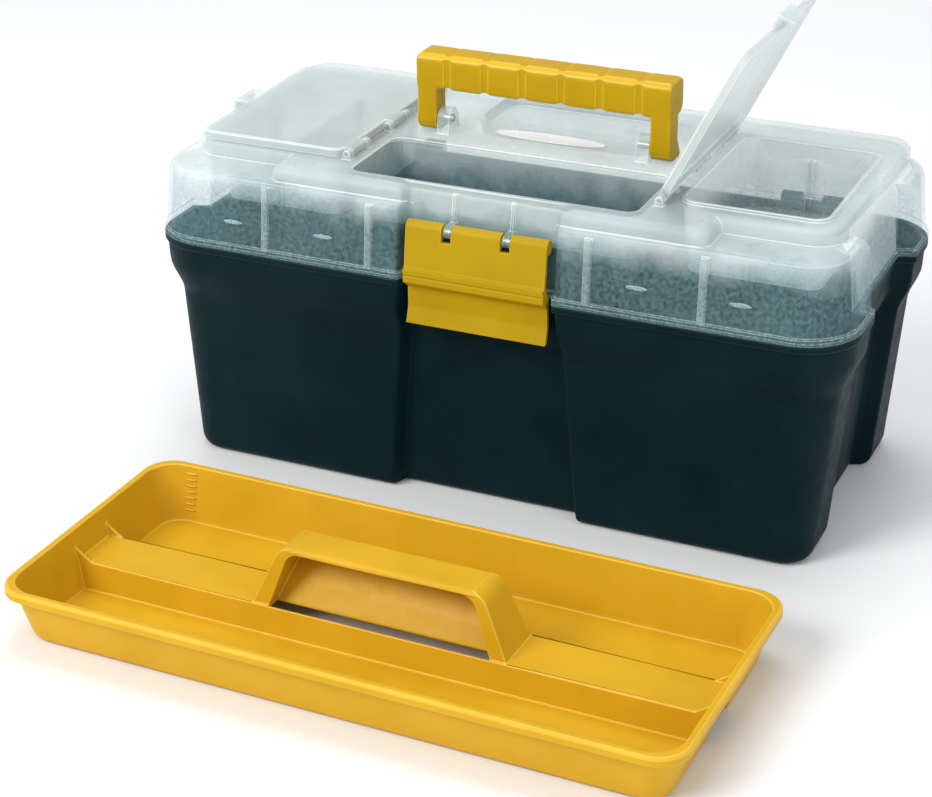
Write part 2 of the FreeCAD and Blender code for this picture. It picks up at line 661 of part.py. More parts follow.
def make_lid():
    outer = fuse(lid_shell_outer(), deck(0.0), brow(0.0))
    shell = outer.cut(lid_cavity())
    bins = bin_solid(BIN_WALL, 0.0)
    added = [shell, bins, mirror_x(bins), bin_lip(), mirror_x(bin_lip()), trough_solid(BIN_WALL, 0.0),
             pocket_solid(LID_WALL, 0.0)]
    for x in (-LUG_AT, LUG_AT):
        added += latch_lug(x)
    added += front_ribs()
    for shape in cover_lugs() + handle_ear():
        added += [shape, mirror_x(shape)]
    for side in (-1, 1):
        x0 = side * HINGE_AT - KNUCKLE_LENGTH / 2
        added.append(hinge_knuckle(x0, x0 + KNUCKLE_LENGTH, True))
    lid = fuse(*added)
    hollow = bin_solid(0.0, BOOL_EXTRA)
    cuts = [hollow, mirror_x(hollow), trough_solid(0.0, BOOL_EXTRA), pocket_solid(0.0, BOOL_EXTRA)]
    cuts += [hinge_bore(-HINGE_AT), hinge_bore(HINGE_AT), cover_pin_bore(), mirror_x(cover_pin_bore())]
    y, z = latch_pin_place()
    cuts.append(rod(LATCH_PIN_RADIUS + FIT, V(-LATCH_HALF_X, y, z), X_AXIS, 2 * LATCH_HALF_X))
    y, z = handle_pivot()
    cuts.append(rod(HANDLE_PIN_RADIUS + FIT, V(-HANDLE_HALF_X, y, z), X_AXIS, 2 * HANDLE_HALF_X))
    lid = lid.cut(Part.makeCompound(cuts))
    return fuse(lid, *divider_guides())


# ---------------------------------------------------------------- pins
def lid_hinge_pin(side):
    y, z = hinge_axis()
    length = 3 * KNUCKLE_LENGTH + 2 * KNUCKLE_GAP
    return rod(HINGE_PIN_RADIUS, V(side * HINGE_AT - length / 2, y, z), X_AXIS, length)


def latch_pin():
    y, z = latch_pin_place()
    reach = LATCH_HALF_X - LATCH_SIDE_GAP
    return rod(LATCH_PIN_RADIUS, V(-reach, y, z), X_AXIS, 2 * reach)


def cover_pin():
    x, z = cover_axis()
    return rod(COVER_PIN_RADIUS, V(x, -COVER_HALF_Y + 1.0, z), Y_AXIS, 2 * COVER_HALF_Y - 2.0)


def handle_pin():
    """Right-hand pivot pin, through the ear and most of the leg."""
    y, z = handle_pivot()
    inner = HANDLE_HALF_X - LEG_WIDTH - MOVING_GAP - EAR_WIDTH
    outer = HANDLE_HALF_X - 2.0
    return rod(HANDLE_PIN_RADIUS, V(inner, y, z), X_AXIS, outer - inner)


# ---------------------------------------------------------------- latch
def latch_levels():
    """Y of the outer face at the pin, the ridge and the lower plate, and the plate's inner face."""
    y = latch_pin_place()[0]
    top = y - LATCH_BARREL
    ridge = top - LATCH_PLATE
    lower = ridge + LOWER_SET_BACK
    return top, ridge, lower, lower + LATCH_PLATE


def make_latch():
    y, z = latch_pin_place()
    outer_top, outer_ridge, lower_out, lower_in = latch_levels()
    ridge = TUB_HEIGHT + RIDGE_UP
    low = TUB_HEIGHT - LATCH_DROP
    crest = outer_ridge - RIDGE_PROUD
    under = ridge - RIDGE_HALF
    t = LATCH_PLATE
    n = RIDGE_NOTCH
    plate = run_along_x([
        (outer_top + t, z, 0.3), (outer_top, z, 0.3), (outer_ridge, ridge + RIDGE_HALF + n, 1.5),
        (crest, ridge + RIDGE_HALF, 0.8), (crest, ridge + n, 0.6), (crest + n, ridge, 0.3),
        (crest, ridge - n, 0.6), (crest, under, 0.8), (lower_out, under - LOWER_SET_BACK, 2.0),
        (lower_out, low + 3 * FINGER_FLARE, 8.0), (lower_out - FINGER_FLARE, low, 0.4),
        (lower_out - FINGER_FLARE + t, low, 0.4), (lower_in, low + 3 * FINGER_FLARE, 8.0),
        (lower_in, under, 2.0), (outer_ridge + t, ridge + RIDGE_HALF, 2.0)], -LATCH_HALF_X, LATCH_HALF_X)
    barrel = rod(LATCH_BARREL, V(-LATCH_HALF_X, y, z), X_AXIS, 2 * LATCH_HALF_X)
    hook_top = TUB_HEIGHT - CATCH_DROP - CATCH_HEIGHT - HOOK_GAP
    tip = -(WALL_HALF_Y - RECESS_DEPTH) + BAND_TAPER - HOOK_TIP_GAP
    root = lower_in - t / 2
    hook = x_extrusion([(root, hook_top), (tip, hook_top), (tip, hook_top - HOOK_HEIGHT / 2),
                        (root, hook_top - HOOK_HEIGHT * 1.5)], -HOOK_HALF, HOOK_HALF)
    latch = fuse(plate, barrel, hook)
    for x in (-LUG_AT, LUG_AT):
        half = LUG_WIDTH / 2 + LUG_GAP
        latch = latch.cut(box(x - half, x + half, y - 3 * LATCH_BARREL, y + 3 * LATCH_BARREL,
                              z - LATCH_BARREL - LUG_GAP, z + 3 * LATCH_BARREL))
    reach = LATCH_HALF_X - LATCH_SIDE_GAP
    return latch.cut(rod(LATCH_PIN_RADIUS + FIT, V(-reach, y, z), X_AXIS, 2 * reach))


# ---------------------------------------------------------------- carry handle
def handle_leg():
    """Right-hand leg with a foot that is round about the pivot and a heel behind it."""
    y, z = handle_pivot()
    x1 = HANDLE_HALF_X
    x0 = x1 - LEG_WIDTH
    front = y - LEG_DEPTH / 2
    back = y + LEG_DEPTH / 2
    up = BOX_TOP + HANDLE_TOP - GRIP_HEIGHT / 2 - z
    leg = loft([rectangle(x0, x1, front, back, LEG_EDGE, h) for h in (0.0, up)])
    leg.translate(V(0, 0, z))
    foot = rod(LEG_DEPTH / 2, V(x0, y, z), X_AXIS, LEG_WIDTH)
    sole = BOX_TOP + MOVING_GAP
    heel = x_extrusion([(y, sole), (y + HEEL_REACH, sole), (y + HEEL_REACH, sole + HEEL_HEIGHT),
                        (back, z + HEEL_HEIGHT), (y, z + HEEL_HEIGHT)], x0, x1)
    return [leg, foot, heel]


def make_grip():
    top = BOX_TOP + HANDLE_TOP
    low = top - GRIP_HEIGHT
    front = HANDLE_Y - LEG_DEPTH / 2
    back = front + GRIP_DEPTH
    e = GRIP_EDGE
    r = GRIP_END
    half = HANDLE_HALF_X
    section = run_along_x([(front, low, e / 2), (front, top, e), (back, top, e), (back, low, e)],
                          -half, half)
    ends = run_along_y([(-half, low - 1.0, 0.4), (-half, top, r), (half, top, r), (half, low - 1.0, 0.4)],
                       front, back)
    grip = section.common(ends)
    pitch = 2 * (half - GROOVE_MARGIN) / (GROOVES - 1)
    cuts = []
    for k in range(GROOVES):
        x = -half + GROOVE_MARGIN + k * pitch
        over = RING_RADIUS - RING_DEPTH
        under = RING_RADIUS - RING_BELOW
        cuts.append(rod(RING_RADIUS, V(x, front - 1.0, top + over), Y_AXIS, GRIP_DEPTH + 2.0))
        cuts.append(rod(RING_RADIUS, V(x, front - 1.0, low - under), Y_AXIS, GRIP_DEPTH + 2.0))
        cuts.append(rod(RING_RADIUS, V(x, front - over, low - 1.0), Z_AXIS, GRIP_HEIGHT + 2.0))
        cuts.append(rod(RING_RADIUS, V(x, back + over, low - 1.0), Z_AXIS, GRIP_HEIGHT + 2.0))
    return grip.cut(Part.makeCompound(cuts))


def make_handle():
    parts = [make_grip()]
    for shape in handle_leg():
        parts += [shape, mirror_x(shape)]
    y, z = handle_pivot()
    reach = HANDLE_HALF_X - 2.0
    return fuse(*parts).cut(rod(HANDLE_PIN_RADIUS + FIT, V(-reach, y, z), X_AXIS, 2 * reach))


# ---------------------------------------------------------------- bin covers and dividers
def make_cover():
    """Right-hand cover, closed: a shallow cap with hinge barrels and a thumb tab."""
    x, z = cover_axis()
    low = BOX_TOP + COVER_SEAT_GAP
    top = z + COVER_BARREL_RADIUS
    x0 = x + COVER_BARREL_RADIUS + MOVING_GAP
    r = COVER_CORNER
    cap = loft([rectangle(x0 + e, COVER_FREE_X - e, -COVER_HALF_Y + e, COVER_HALF_Y - e, r - e, h)
                for h, e in ((low, 0.0), (top - COVER_EDGE, 0.0), (top, COVER_EDGE))])
    s = COVER_SKIRT
    hollow = loft([rectangle(x0 + s, COVER_FREE_X - s, -COVER_HALF_Y + s, COVER_HALF_Y - s, r - s, h)
                   for h in (low - BOOL_EXTRA, top - COVER_PLATE)])
    cover = cap.cut(hollow)
    knuckles = []
    for centre in (-COVER_KNUCKLE_AT, 0.0, COVER_KNUCKLE_AT):
        y0 = centre - COVER_KNUCKLE / 2
        knuckles.append(rod(COVER_BARREL_RADIUS, V(x, y0, z), Y_AXIS, COVER_KNUCKLE))
        knuckles.append(box(x, x0 + s, y0, y0 + COVER_KNUCKLE, z, top))
    lip_in = DECK_HALF_X + TAB_GAP
    lip_out = lip_in + TAB_THICKNESS
    shelf = top - COVER_PLATE
    root = COVER_FREE_X - s
    end = top - TAB_DROP
    tab = run_along_y([(root, shelf, 0.2), (root, top, 0.2), (lip_out, top, 1.5),
                       (lip_out + TAB_GAP, end, 0.4), (lip_in + TAB_GAP, end, 0.4), (lip_in, shelf, 0.4)],
                      -TAB_HALF, TAB_HALF)
    return fuse(cover, tab, *knuckles).cut(cover_pin_bore())


def make_open_cover():
    x, z = cover_axis()
    cover = make_cover()
    cover.rotate(V(x, 0, z), Y_AXIS, -COVER_OPEN_ANGLE)
    return cover


def divider_reach(wall, taper_share):
    """Half length of a divider edge against a tapered bin wall, with its gap."""
    return wall - BIN_TAPER * taper_share - DIVIDER_GAP


def long_divider():
    low = BOX_TOP - BIN_DEPTH + DIVIDER_GAP
    high = low + DIVIDER_HEIGHT
    wide = divider_reach(BIN_HALF_Y, 1 - DIVIDER_HEIGHT / BIN_DEPTH)
    narrow = divider_reach(BIN_HALF_Y, 1.0)
    t = DIVIDER_THICKNESS / 2
    points = [V(-LONG_DIVIDER_X - t, y, z) for y, z in
              ((-narrow, low), (narrow, low), (wide, high), (-wide, high), (-narrow, low))]
    return Part.Face(Part.makePolygon(points)).extrude(V(DIVIDER_THICKNESS, 0, 0))


def cross_divider():
    low = BOX_TOP - BIN_DEPTH + DIVIDER_GAP
    high = low + DIVIDER_HEIGHT
    left = -LONG_DIVIDER_X + DIVIDER_THICKNESS / 2 + DIVIDER_GAP
    right_high = -BIN_INNER_X - BIN_TAPER * (1 - DIVIDER_HEIGHT / BIN_DEPTH) - DIVIDER_GAP
    right_low = -BIN_INNER_X - BIN_TAPER - DIVIDER_GAP
    y0 = CROSS_DIVIDER_Y - DIVIDER_THICKNESS / 2
    return y_extrusion([(left, low), (right_low, low), (right_high, high), (left, high)],
                       y0, y0 + DIVIDER_THICKNESS)


def badge():
    """Blank oval plate on the deck, between the handle's legs."""
    major = BADGE_LENGTH / 2
    ellipse = Part.Ellipse(V(0, BADGE_Y, BOX_TOP), major, BADGE_WIDTH / 2).toShape()
    return Part.Face(Part.Wire([ellipse])).extrude(V(0, 0, BADGE_THICKNESS))


# ---------------------------------------------------------------- tray
def tray_plan(z, inset):
    half_x = TRAY_LENGTH / 2 - TRAY_RIM_PROUD
    half_y = TRAY_DEPTH / 2 - TRAY_RIM_PROUD
    lean = TRAY_TAPER * (1 - z / TRAY_HEIGHT)
    up = max(TRAY_FLOOR_RADIUS - z, 0.0)
    e = lean + TRAY_FLOOR_RADIUS - math.sqrt(TRAY_FLOOR_RADIUS ** 2 - up ** 2) + inset
    return rectangle(-half_x + e, half_x - e, -half_y + e, half_y - e, TRAY_CORNER - e / 2, z)


def tray_heights(low):
    curve = [TRAY_FLOOR_RADIUS * (1 - math.cos(math.radians(a))) for a in (0, 30, 60, 90)]
    return [low + h for h in curve]


def spine(grow):
    """Hollow ridge along the tray's middle: outside (grow 0) or the space under it."""
    low = 0.0 if grow == 0 else -BOOL_EXTRA
    half_x = TRAY_LENGTH / 2 - TRAY_RIM_PROUD - TRAY_TAPER / 2 - grow
    top = SPINE_HEIGHT - grow
    foot = SPINE_HALF_FLOOR - grow
    crest = SPINE_HALF_TOP - grow
    return x_extrusion([(-foot, low), (foot, low), (crest, top), (-crest, top)], -half_x, half_x)


def arch():
    """Raised grip over the spine, leaning in from its feet to its top."""
    root = SPINE_HEIGHT / 2
    e = ARCH_TOP_WALL
    along = run_along_y([(-ARCH_HALF_FOOT, root, 0.5), (ARCH_HALF_FOOT, root, 0.5),
                         (ARCH_HALF_FOOT, SPINE_HEIGHT, 2.0), (ARCH_HALF_TOP, ARCH_HEIGHT, ARCH_ROUND),
                         (-ARCH_HALF_TOP, ARCH_HEIGHT, ARCH_ROUND), (-ARCH_HALF_FOOT, SPINE_HEIGHT, 2.0)],
                        -SPINE_HALF_FLOOR, SPINE_HALF_FLOOR)
    across = run_along_x([(-SPINE_HALF_TOP, root, 0.5), (SPINE_HALF_TOP, root, 0.5),
                          (ARCH_BACK, ARCH_HEIGHT, e), (-ARCH_FRONT, ARCH_HEIGHT, e)],
                         -ARCH_HALF_FOOT, ARCH_HALF_FOOT)
    return along.common(across)


def finger_room():
    """Space under the grip, open to the front, with a back wall in three facets."""
    low = SPINE_HEIGHT
    top = ARCH_HEIGHT - ARCH_TOP_WALL
    rise = top - low
    back = SLOT_WIDTH - SLOT_FRONT
    ahead = -SPINE_HALF_FLOOR
    last = ARCH_BACK - ARCH_TOP_WALL
    knee = back + (last - back) * 0.4
    across = run_along_x([(ahead, low, 0.3), (back, low, 0.3), (knee, low + rise * 0.3, 1.5),
                          (last - TRAY_WALL, low + rise * 0.6, 1.5), (last, top, 2.0), (ahead, top, 0.3)],
                         -ARCH_HALF_FOOT, ARCH_HALF_FOOT)
    foot = ARCH_HALF_FOOT - ARCH_LEG
    crest = ARCH_HALF_TOP - ARCH_LEG_TOP
    r = ARCH_ROUND - ARCH_TOP_WALL
    along = run_along_y([(-foot, low, 0.3), (foot, low, 0.3), (crest, top, r), (-crest, top, r)],
                        ahead, ARCH_BACK)
    slot = box(-foot, foot, -SLOT_FRONT, back, SPINE_HEIGHT - 2 * TRAY_WALL, low + TRAY_WALL)
    return fuse(along.common(across), slot)


def under_arch():
    """Hollow from below, behind the finger room and inside the two legs."""
    root = SPINE_HEIGHT - 1.5 * TRAY_WALL
    rise = ARCH_HEIGHT - ARCH_TOP_WALL - SPINE_HEIGHT
    t = TRAY_WALL
    back = SLOT_WIDTH - SLOT_FRONT + t * 1.3
    last = SPINE_HALF_TOP - t * 1.3
    crest = last - t
    knee = back + (crest - back) * 0.45
    middle = SPINE_HEIGHT + rise * 0.5
    foot = ARCH_HALF_FOOT - ARCH_LEG
    behind = x_extrusion([(back, root), (last, root), (last - t / 4, middle), (crest, middle),
                          (knee, SPINE_HEIGHT + rise * 0.22)], -foot, foot)
    inner = foot + t * 1.2
    outer = ARCH_HALF_FOOT - t * 1.1
    lean = (ARCH_HALF_FOOT - ARCH_HALF_TOP) * 0.5
    leg = y_extrusion([(inner, root), (outer, root), (outer - lean - t / 2, SPINE_HEIGHT + rise * 0.45),
                       (outer - lean - t, SPINE_HEIGHT + rise * 0.45)], -ARCH_FRONT, ARCH_FRONT)
    return [behind, leg, mirror_x(leg)]


def gusset():
    """Small web from the spine's front edge up the tray's right-hand end wall."""
    end = TRAY_LENGTH / 2 - TRAY_RIM_PROUD - TRAY_WALL / 2 - TRAY_TAPER * (1 - SPINE_HEIGHT / TRAY_HEIGHT)
    lean = TRAY_TAPER * GUSSET_HEIGHT / TRAY_HEIGHT
    low = SPINE_HEIGHT - TRAY_WALL / 2
    return y_extrusion([(end - GUSSET_LENGTH, low), (end, low), (end + lean, SPINE_HEIGHT + GUSSET_HEIGHT)],
                       -SPINE_HALF_TOP, -SPINE_HALF_TOP + GUSSET_WIDTH)


def make_tray():
    outer = loft([tray_plan(z, 0.0) for z in tray_heights(0.0) + [TRAY_HEIGHT]])
    low = TRAY_HEIGHT - TRAY_RIM_HEIGHT
    half_x = TRAY_LENGTH / 2
    half_y = TRAY_DEPTH / 2
    edge = TRAY_RIM_EDGE
    rim = loft([rectangle(-half_x + e, half_x - e, -half_y + e, half_y - e, TRAY_CORNER - e, z)
                for z, e in ((low, 0.0), (TRAY_HEIGHT - edge, 0.0), (TRAY_HEIGHT, edge))])
    inner_wires = [tray_plan(z, TRAY_WALL) for z in tray_heights(TRAY_WALL) + [TRAY_HEIGHT]]
    above = rectangle(-half_x + TRAY_RIM_PROUD + TRAY_WALL, half_x - TRAY_RIM_PROUD - TRAY_WALL,
                      -half_y + TRAY_RIM_PROUD + TRAY_WALL, half_y - TRAY_RIM_PROUD - TRAY_WALL,
                      TRAY_CORNER - TRAY_WALL, TRAY_HEIGHT + BOOL_EXTRA)
    inner = loft(inner_wires + [above])
    under_rim = loft([rectangle(-half_x + TRAY_WALL, half_x - TRAY_WALL, -half_y + TRAY_WALL,
                                half_y - TRAY_WALL, TRAY_CORNER - TRAY_WALL, z)
                      for z in (low - BOOL_EXTRA, TRAY_HEIGHT - TRAY_WALL)])
    basin = fuse(outer, rim.cut(under_rim)).cut(inner)
    front_webs = [gusset(), mirror_x(gusset())]
    webs = front_webs + [web.mirror(V(0, 0, 0), Y_AXIS) for web in front_webs]
    tray = fuse(basin, spine(0).common(outer), arch(), *webs)
    tray = tray.cut(spine(TRAY_WALL)).cut(finger_room())
    for hollow in under_arch():
        tray = tray.cut(hollow)
    tray.rotate(V(0, 0, 0), Z_AXIS, TRAY_TURN)
    tray.translate(V(TRAY_X, TRAY_Y, 0))
    return tray


# ---------------------------------------------------------------- build
os.makedirs("parts", exist_ok=True)
save("tub", make_tub())
save("lid", make_lid())
save("lid_hinge_pin_left", lid_hinge_pin(-1))
save("lid_hinge_pin_right", lid_hinge_pin(1))
save("latch", make_latch())
save("latch_pin", latch_pin())
save("handle", make_handle())
save("handle_pin_left", mirror_x(handle_pin()))
save("handle_pin_right", handle_pin())
save("flip_lid_left", mirror_x(make_cover()))
save("flip_lid_right", make_open_cover())
save("flip_lid_pin_left", mirror_x(cover_pin()))
save("flip_lid_pin_right", cover_pin())
save("bin_divider_long", long_divider())
save("bin_divider_cross", cross_divider())
save("badge_plate", badge())
save("tray", make_tray())
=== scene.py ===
# %% [markdown]
# # A plastic toolbox with a lift-out tray
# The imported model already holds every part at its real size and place, in metres, with +Z up.
# This lesson gives the parts their finishes, softens the moulded edges, adds the small marks that
# a mould leaves, and lights the result softly and evenly.

# %% Load the frame
import math

import bmesh
import bpy
from mathutils import Matrix, Vector
from mathutils.bvhtree import BVHTree


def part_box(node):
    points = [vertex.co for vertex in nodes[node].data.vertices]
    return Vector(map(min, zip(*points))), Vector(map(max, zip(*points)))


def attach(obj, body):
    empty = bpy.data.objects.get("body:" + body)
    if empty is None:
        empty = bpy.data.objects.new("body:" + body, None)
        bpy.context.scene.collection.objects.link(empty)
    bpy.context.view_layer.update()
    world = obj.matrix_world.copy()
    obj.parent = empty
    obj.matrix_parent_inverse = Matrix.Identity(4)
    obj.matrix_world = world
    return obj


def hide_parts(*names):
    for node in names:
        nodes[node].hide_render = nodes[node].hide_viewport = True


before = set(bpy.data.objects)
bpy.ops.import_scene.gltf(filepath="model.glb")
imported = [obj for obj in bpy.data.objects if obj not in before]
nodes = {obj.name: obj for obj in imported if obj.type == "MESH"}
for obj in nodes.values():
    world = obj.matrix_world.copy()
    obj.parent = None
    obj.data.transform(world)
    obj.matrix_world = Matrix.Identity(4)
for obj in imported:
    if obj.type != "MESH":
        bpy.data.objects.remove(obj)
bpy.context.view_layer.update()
MM = 0.001
print("nodes:", ", ".join(sorted(nodes)))

# %% [markdown]
# ## Small helpers for materials
# Moulded plastic is one colour all the way through, but it never looks flat: the mould leaves a
# fine grain, the melt leaves faint clouds, and handling polishes the edges. Images of plastic
# could be wrapped round the parts, but they would stretch and need unfolding. Patterns worked out
# from the place on the part need neither. They all read Object coordinates, so they stay with a
# part when it moves, and a few helpers build them for every finish below.

# %% A material and the place its patterns read
PLAIN_SPECULAR = 0.5


def new_material(name, color, roughness, specular=PLAIN_SPECULAR):
    """A material with its Principled shader, ready for patterns."""
    material = bpy.data.materials.new(name)
    material.use_nodes = True
    tree = material.node_tree
    shader = tree.nodes["Principled BSDF"]
    shader.inputs["Base Color"].default_value = (*color, 1.0)
    shader.inputs["Roughness"].default_value = roughness
    shader.inputs["Specular IOR Level"].default_value = specular
    return material, tree, shader


def object_point(tree):
    """The place on the part, in metres, that every pattern reads."""
    return tree.nodes.new("ShaderNodeTexCoord").outputs["Object"]


# %% Patterns and what is done with them
def noise(tree, point, size, detail):
    """Noise whose grains are about size metres across."""
    node = tree.nodes.new("ShaderNodeTexNoise")
    node.inputs["Scale"].default_value = 1.0 / size
    node.inputs["Detail"].default_value = detail
    tree.links.new(point, node.inputs["Vector"])
    return node.outputs["Fac"]


def spread(tree, value, low, high, to_low, to_high):
    """Map a range of a pattern onto another range."""
    node = tree.nodes.new("ShaderNodeMapRange")
    tree.links.new(value, node.inputs["Value"])
    numbers = {"From Min": low, "From Max": high, "To Min": to_low, "To Max": to_high}
    for socket, number in numbers.items():
        node.inputs[socket].default_value = number
    return node.outputs["Result"]


def tint(tree, factor, first, second):
    """Blend two colours by a pattern."""
    node = tree.nodes.new("ShaderNodeMix")
    node.data_type = "RGBA"
    tree.links.new(factor, node.inputs["Factor"])
    node.inputs["A"].default_value = (*first, 1.0)
    node.inputs["B"].default_value = (*second, 1.0)
    return node.outputs["Result"]


def combine(tree, operation, first, second):
    """Add or multiply two patterns."""
    node = tree.nodes.new("ShaderNodeMath")
    node.operation = operation
    tree.links.new(first, node.inputs[0])
    tree.links.new(second, node.inputs[1])
    return node.outputs[0]


# %% Moulded grain
GRAIN_STRENGTH = 0.6
WAVE_STRENGTH = 0.35
WAVE_DEPTH = 4      # how many times deeper than the grain


def grain(tree, shader, point, size, depth, wave=0.0):
    """Fine moulded grain as bump, with an optional broader waviness."""
    height = noise(tree, point, size, 2.0)
    bump = tree.nodes.new("ShaderNodeBump")
    bump.inputs["Distance"].default_value = depth
    bump.inputs["Strength"].default_value = GRAIN_STRENGTH
    tree.links.new(height, bump.inputs["Height"])
    if wave:
        swell = tree.nodes.new("ShaderNodeBump")
        swell.inputs["Distance"].default_value = depth * WAVE_DEPTH
        swell.inputs["Strength"].default_value = WAVE_STRENGTH
        tree.links.new(noise(tree, point, wave, 1.0), swell.inputs["Height"])
        tree.links.new(swell.outputs["Normal"], bump.inputs["Normal"])
    tree.links.new(bump.outputs["Normal"], shader.inputs["Normal"])


# %% [markdown]
# ## The dark green tub
# The tub is a very dark green that is almost black in shade. One flat colour would read as a dark
# hole, so the finish blends two near shades in clouds. Its grain is fine, and a broader patch in
# the roughness breaks up the long reflections on its flat sides. Every plastic here gets a
# second finish for its rounded edges, a little glossier and slightly lighter in colour: the
# lighter colour is a painted highlight along the radii that catch the light.

# %% Opaque plastic
CLOUD_SIZE = 0.045
PATCH_SIZE = 0.009


def plastic(name, dark, light, rough, specular, grain_size, grain_depth, wave):
    """Opaque moulded plastic: two near shades in clouds, patchy gloss, fine grain."""
    material, tree, shader = new_material(name, light, rough, specular)
    point = object_point(tree)
    cloud = spread(tree, noise(tree, point, CLOUD_SIZE, 4.0), 0.32, 0.68, 0.0, 1.0)
    tree.links.new(tint(tree, cloud, dark, light), shader.inputs["Base Color"])
    patch = noise(tree, point, PATCH_SIZE, 5.0)
    gloss = spread(tree, patch, 0.3, 0.7, rough - 0.06, rough + 0.08)
    tree.links.new(gloss, shader.inputs["Roughness"])
    grain(tree, shader, point, grain_size, grain_depth, wave)
    print("finish:", name)
    return material


# %% Tub finishes
tub_green = plastic(
    "tub_green_moulded", dark=(0.0011, 0.0110, 0.0140), light=(0.0024, 0.0170, 0.0205),
    rough=0.48, specular=0.07, grain_size=0.0011, grain_depth=0.00014, wave=0.022)
# Rounded-edge finish: a lighter shade than the body, a painted highlight, and a little glossier.
tub_edge_highlight = plastic(
    "tub_green_highlight_edge", dark=(0.0035, 0.0200, 0.0240), light=(0.0065, 0.0290, 0.0330),
    rough=0.38, specular=0.16, grain_size=0.0013, grain_depth=0.00006, wave=0.02)

# %% [markdown]
# ## The milky clear lid
# The lid is unpigmented polypropylene. It passes light but veils what lies behind. The veil is
# not even: the deck and the bins, which face the light, look white, while the lower walls show
# the dark tub through them, take a green tinge and are finely flecked. So one finish carries two
# tones, joined by a ramp in height with a wavering border: the whiter upper tone is painted light
# from above, and the darker green lower tone is painted shade. Real light scattering inside the
# wall could do this, but it is slow and grainy. Letting part of the surface through with alpha
# stays clean at low sample counts. Ribs and rounded edges are thicker to look through, so they
# read whiter; their whiter tones are partly that and partly painted highlight.

# %% The ramp in height
lid_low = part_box("lid")[0]
WALL_RAMP = (lid_low[2] + 35.0 * MM, lid_low[2] + 54.0 * MM)
TROUGH_RAMP = (lid_low[2] + 40.0 * MM, lid_low[2] + 62.0 * MM)
WAVER_SIZE = 0.024
WAVER_HEIGHT = 7.0 * MM


def height_ramp(tree, point, span):
    """0 at the low end of the span of heights, 1 at its high end, with a wavering border."""
    parts = tree.nodes.new("ShaderNodeSeparateXYZ")
    tree.links.new(point, parts.inputs["Vector"])
    pattern = noise(tree, point, WAVER_SIZE, 3.0)
    waver = spread(tree, pattern, 0.25, 0.75, -WAVER_HEIGHT, WAVER_HEIGHT)
    height = combine(tree, "ADD", parts.outputs["Z"], waver)
    return spread(tree, height, span[0], span[1], 0.0, 1.0)


print("lower walls clear up to", round(WALL_RAMP[0], 3), "m, milky from", round(WALL_RAMP[1], 3))

# %% See-through plastic
MILKY_SPECULAR = 0.35
VEIL_SIZE = 0.030
VEIL_CHANGE = 0.035
FLECK_SIZE = 0.0026
FLECK_CHANGE = 0.055
MILKY_PATCH_SIZE = 0.008
MILKY_GRAIN_SIZE = 0.0016
MILKY_WAVE = 0.03


def veil(tree, point, rise, wall_alpha, deck_alpha):
    """How much the plastic hides: a ramp, broad clouds, and flecks that fade out higher up."""
    cloud = spread(tree, noise(tree, point, VEIL_SIZE, 3.0), 0.25, 0.75, -VEIL_CHANGE, VEIL_CHANGE)
    pattern = noise(tree, point, FLECK_SIZE, 1.0)
    fleck = spread(tree, pattern, 0.35, 0.65, -FLECK_CHANGE, FLECK_CHANGE)
    stipple = combine(tree, "MULTIPLY", fleck, spread(tree, rise, 0.0, 1.0, 1.0, 0.0))
    broad = combine(tree, "ADD", spread(tree, rise, 0.0, 1.0, wall_alpha, deck_alpha), cloud)
    return combine(tree, "ADD", broad, stipple)


def milky(name, shaded_wall_tone, lit_deck_tone, wall_alpha, deck_alpha, rough,
          grain_depth=0.000025, span=WALL_RAMP):
    """See-through plastic whose cloudiness grows with height and varies from place to place, with
    painted shade in its lower tone and painted light in its upper one.
    """
    material, tree, shader = new_material(name, lit_deck_tone, rough, MILKY_SPECULAR)
    point = object_point(tree)
    rise = height_ramp(tree, point, span)
    # The lower tone is painted shade and the upper tone painted light from above.
    if shaded_wall_tone != lit_deck_tone:
        tree.links.new(tint(tree, rise, shaded_wall_tone, lit_deck_tone), shader.inputs["Base Color"])
    tree.links.new(veil(tree, point, rise, wall_alpha, deck_alpha), shader.inputs["Alpha"])
    patch = noise(tree, point, MILKY_PATCH_SIZE, 4.0)
    gloss = spread(tree, patch, 0.3, 0.7, rough - 0.05, rough + 0.09)
    tree.links.new(gloss, shader.inputs["Roughness"])
    grain(tree, shader, point, MILKY_GRAIN_SIZE, grain_depth, MILKY_WAVE)
    print("finish:", name)
    return material


# %% Lid finishes
lid_clear = milky(
    "lid_milky_clear", shaded_wall_tone=(0.26, 0.48, 0.52), lit_deck_tone=(0.70, 0.80, 0.80),
    wall_alpha=0.155, deck_alpha=0.35, rough=0.30)
# Edges read whiter, partly for the thicker plastic and partly as a painted highlight.
lid_edge_thick_and_highlight = milky(
    "lid_milky_thick_and_highlight_edge", shaded_wall_tone=(0.52, 0.70, 0.72), lit_deck_tone=(0.88, 0.92, 0.90),
    wall_alpha=0.34, deck_alpha=0.60, rough=0.22, grain_depth=0.00002)
lid_rib = milky(
    "lid_milky_rib", shaded_wall_tone=(0.50, 0.68, 0.71), lit_deck_tone=(0.70, 0.77, 0.77),
    wall_alpha=0.36, deck_alpha=0.48, rough=0.30, grain_depth=0.00002)
# The bins' whiter tones are partly the doubled wall and partly painted light from above.
bin_clear = milky(
    "bin_milky_clear", shaded_wall_tone=(0.60, 0.73, 0.73), lit_deck_tone=(0.88, 0.94, 0.92),
    wall_alpha=0.36, deck_alpha=0.60, rough=0.32, grain_depth=0.00001)
# The trough's darker tones are painted shade.
trough_painted_shade = milky(
    "trough_milky_painted_shade", shaded_wall_tone=(0.27, 0.42, 0.44), lit_deck_tone=(0.56, 0.66, 0.65),
    wall_alpha=0.22, deck_alpha=0.31, rough=0.32, span=TROUGH_RAMP)

